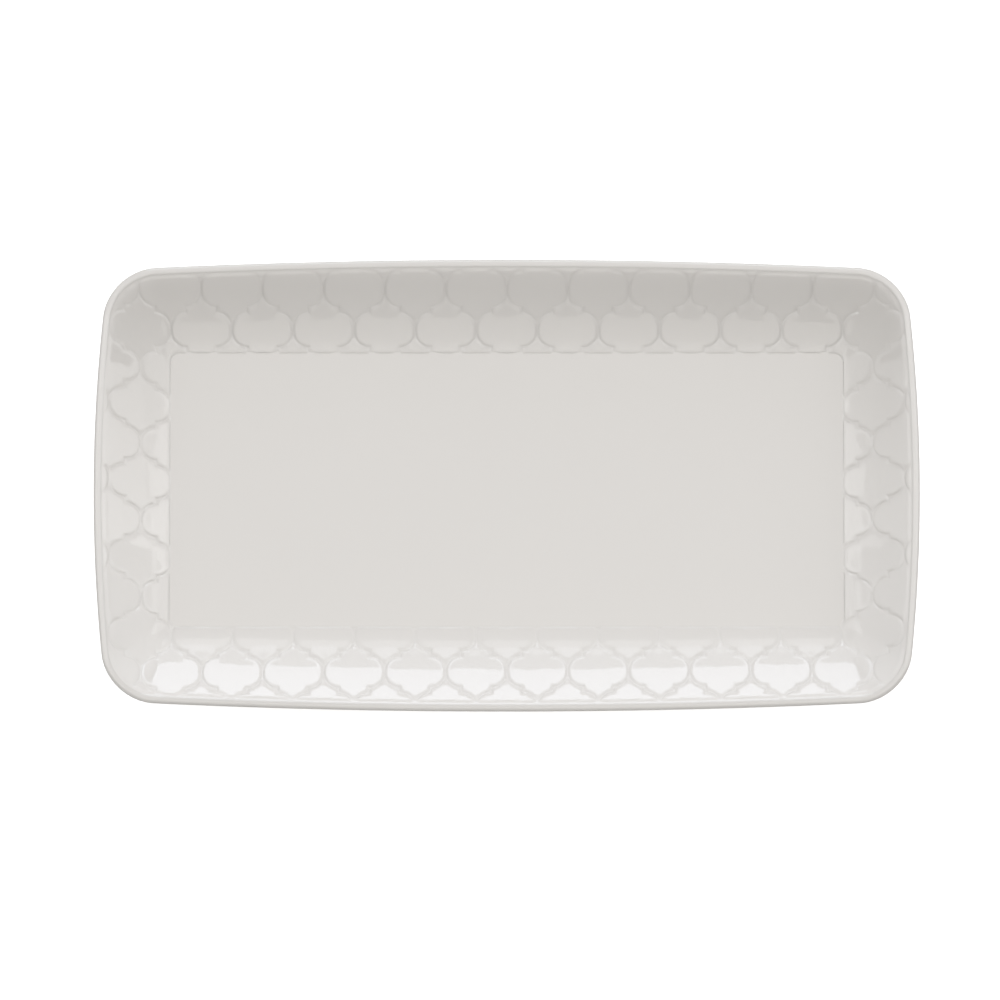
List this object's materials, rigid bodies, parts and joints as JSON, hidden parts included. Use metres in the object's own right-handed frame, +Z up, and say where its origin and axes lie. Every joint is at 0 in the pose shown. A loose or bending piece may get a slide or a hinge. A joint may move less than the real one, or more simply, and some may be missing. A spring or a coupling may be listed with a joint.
{
  "type": "china serving platter",
  "caption": "Rectangular glazed china serving platter with a flat well, flared walls, a rounded lip and a dry foot ring.",
  "frame": {"origin": "on the table, under the middle of the platter", "axes": "+X along the platter's length, +Y across its width, +Z up out of the well"},
  "size_m": [0.356, 0.196, 0.028],
  "materials": {
    "bare_china": "matte",
    "glazed_china": "gloss"
  },
  "bodies": {
    "root": {"china_body": "bare_china", "glaze_face_and_back": "glazed_china", "glaze_base": "glazed_china"}
  },
  "joints": []
}
